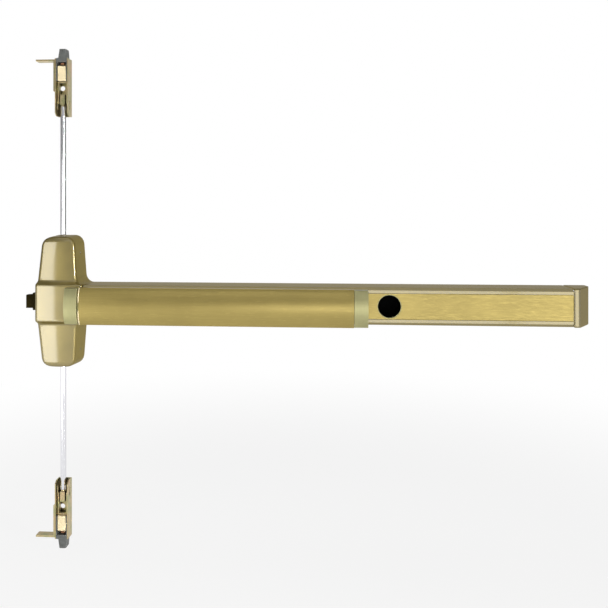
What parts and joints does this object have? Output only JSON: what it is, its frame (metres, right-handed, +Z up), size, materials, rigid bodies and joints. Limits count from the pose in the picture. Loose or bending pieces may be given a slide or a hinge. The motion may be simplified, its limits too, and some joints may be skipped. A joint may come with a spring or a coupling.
{
  "type": "three-point vertical rod exit device",
  "caption": "Push-bar exit device: centre case with a rim latch, concealed rods to a top and a bottom latch, satin bronze finish.",
  "frame": {"origin": "on the door face (the back plane of the centre case and of the mechanism case), at the centre case's middle line and the push bar's middle height", "axes": "+X along the push bar away from the latch edge, +Y into the door, +Z up"},
  "size_m": [0.8822, 0.1196, 0.824],
  "materials": {
    "satin_bronze": "satin, lacquered",
    "brushed_bronze": "brushed along its length",
    "trim_bronze": "satin, greener and paler",
    "latch_dark": "dark brown, oiled",
    "steel": "bright drawn",
    "dull_steel": "plain zinc",
    "yellow_zinc": "yellow zinc passivate",
    "bolt_grey": "dark grey, matt",
    "pale_block": "pale yellow, smooth",
    "copper_spring": "copper coloured wire",
    "black": "matt black"
  },
  "bodies": {
    "chassis": {"base_plate": "dull_steel", "centre_case_cover": "satin_bronze", "cover_screw_upper_left": "dull_steel", "cover_screw_upper_right": "dull_steel", "cover_screw_lower_left": "dull_steel", "cover_screw_lower_right": "dull_steel", "tongue_screw_upper": "dull_steel", "tongue_screw_lower": "dull_steel", "mechanism_case": "satin_bronze", "cover_plate": "brushed_bronze", "cylinder_cup": "black", "end_cap": "satin_bronze", "end_cap_bracket": "dull_steel", "end_bracket_screw": "dull_steel", "crank_stud": "steel", "crank_bracket_left": "dull_steel", "crank_bracket_right": "dull_steel", "crank_pin_left": "steel", "crank_pin_right": "steel", "crank_screw_left_upper": "dull_steel", "crank_screw_left_lower": "dull_steel", "crank_screw_right_upper": "dull_steel", "crank_screw_right_lower": "dull_steel", "top_latch_case": "yellow_zinc", "bottom_latch_case": "yellow_zinc", "top_mounting_angle": "yellow_zinc", "bottom_mounting_angle": "yellow_zinc", "top_angle_rivet": "yellow_zinc", "bottom_angle_rivet": "yellow_zinc"},
    "push_bar": {"push_bar": "brushed_bronze", "left_trim": "trim_bronze", "right_trim": "trim_bronze", "pad_bracket_left": "dull_steel", "pad_bracket_right": "dull_steel"},
    "left_bell_crank": {"bell_crank_left": "yellow_zinc", "pad_pin_left": "steel"},
    "right_bell_crank": {"bell_crank_right": "yellow_zinc", "pad_pin_right": "steel"},
    "draw_link": {"draw_link": "yellow_zinc", "return_spring": "steel"},
    "centre_crank": {"centre_crank": "yellow_zinc"},
    "rim_latch": {"rim_latch_bolt": "latch_dark"},
    "top_rod": {"upper_slide": "yellow_zinc", "top_rod": "steel", "top_jam_nut": "yellow_zinc", "top_clevis": "yellow_zinc", "top_cross_pin": "yellow_zinc", "top_slide_frame": "yellow_zinc", "top_bolt_block": "pale_block", "top_bolt_spring": "copper_spring", "top_latch_bolt": "bolt_grey"},
    "bottom_rod": {"lower_slide": "yellow_zinc", "bottom_rod": "steel", "bottom_jam_nut": "yellow_zinc", "bottom_clevis": "yellow_zinc", "bottom_cross_pin": "yellow_zinc", "bottom_slide_frame": "yellow_zinc", "bottom_bolt_block": "pale_block", "bottom_bolt_spring": "copper_spring", "bottom_latch_bolt": "bolt_grey"}
  },
  "joints": [
    {"name": "push_bar_press", "type": "slide", "parent": "chassis", "child": "push_bar", "axis": [0, 1, 0], "range_m": [0, 0.019], "stiffness_N_per_m": 1500, "springref_m": -0.01},
    {"name": "left_bell_crank_turn", "type": "hinge", "parent": "chassis", "child": "left_bell_crank", "pos_m": [0.095, -0.026, 0], "axis": [0, 0, 1], "range_deg": [0, 39.7]},
    {"name": "right_bell_crank_turn", "type": "hinge", "parent": "chassis", "child": "right_bell_crank", "pos_m": [0.385, -0.026, 0], "axis": [0, 0, 1], "range_deg": [0, 39.7]},
    {"name": "draw_link_slide", "type": "slide", "parent": "chassis", "child": "draw_link", "axis": [1, 0, 0], "range_m": [0, 0.01405], "deforming": ["return_spring"]},
    {"name": "centre_crank_turn", "type": "hinge", "parent": "chassis", "child": "centre_crank", "pos_m": [0, -0.025, 0], "axis": [0, 1, 0], "range_deg": [0, 39.7]},
    {"name": "rim_latch_retract", "type": "slide", "parent": "chassis", "child": "rim_latch", "axis": [1, 0, 0], "range_m": [0, 0.01901]},
    {"name": "top_rod_pull", "type": "slide", "parent": "chassis", "child": "top_rod", "axis": [0, 0, -1], "range_m": [0, 0.01405]},
    {"name": "bottom_rod_lift", "type": "slide", "parent": "chassis", "child": "bottom_rod", "axis": [0, 0, 1], "range_m": [0, 0.01405]}
  ],
  "couplings": [
    {"joint": "left_bell_crank_turn", "follows": "push_bar_press", "rad_per_m": 36.43},
    {"joint": "right_bell_crank_turn", "follows": "push_bar_press", "rad_per_m": 36.43},
    {"joint": "draw_link_slide", "follows": "push_bar_press", "ratio": 0.7392},
    {"joint": "centre_crank_turn", "follows": "push_bar_press", "rad_per_m": 36.43},
    {"joint": "rim_latch_retract", "follows": "push_bar_press", "ratio": 1},
    {"joint": "top_rod_pull", "follows": "push_bar_press", "ratio": 0.7392},
    {"joint": "bottom_rod_lift", "follows": "push_bar_press", "ratio": 0.7392}
  ]
}
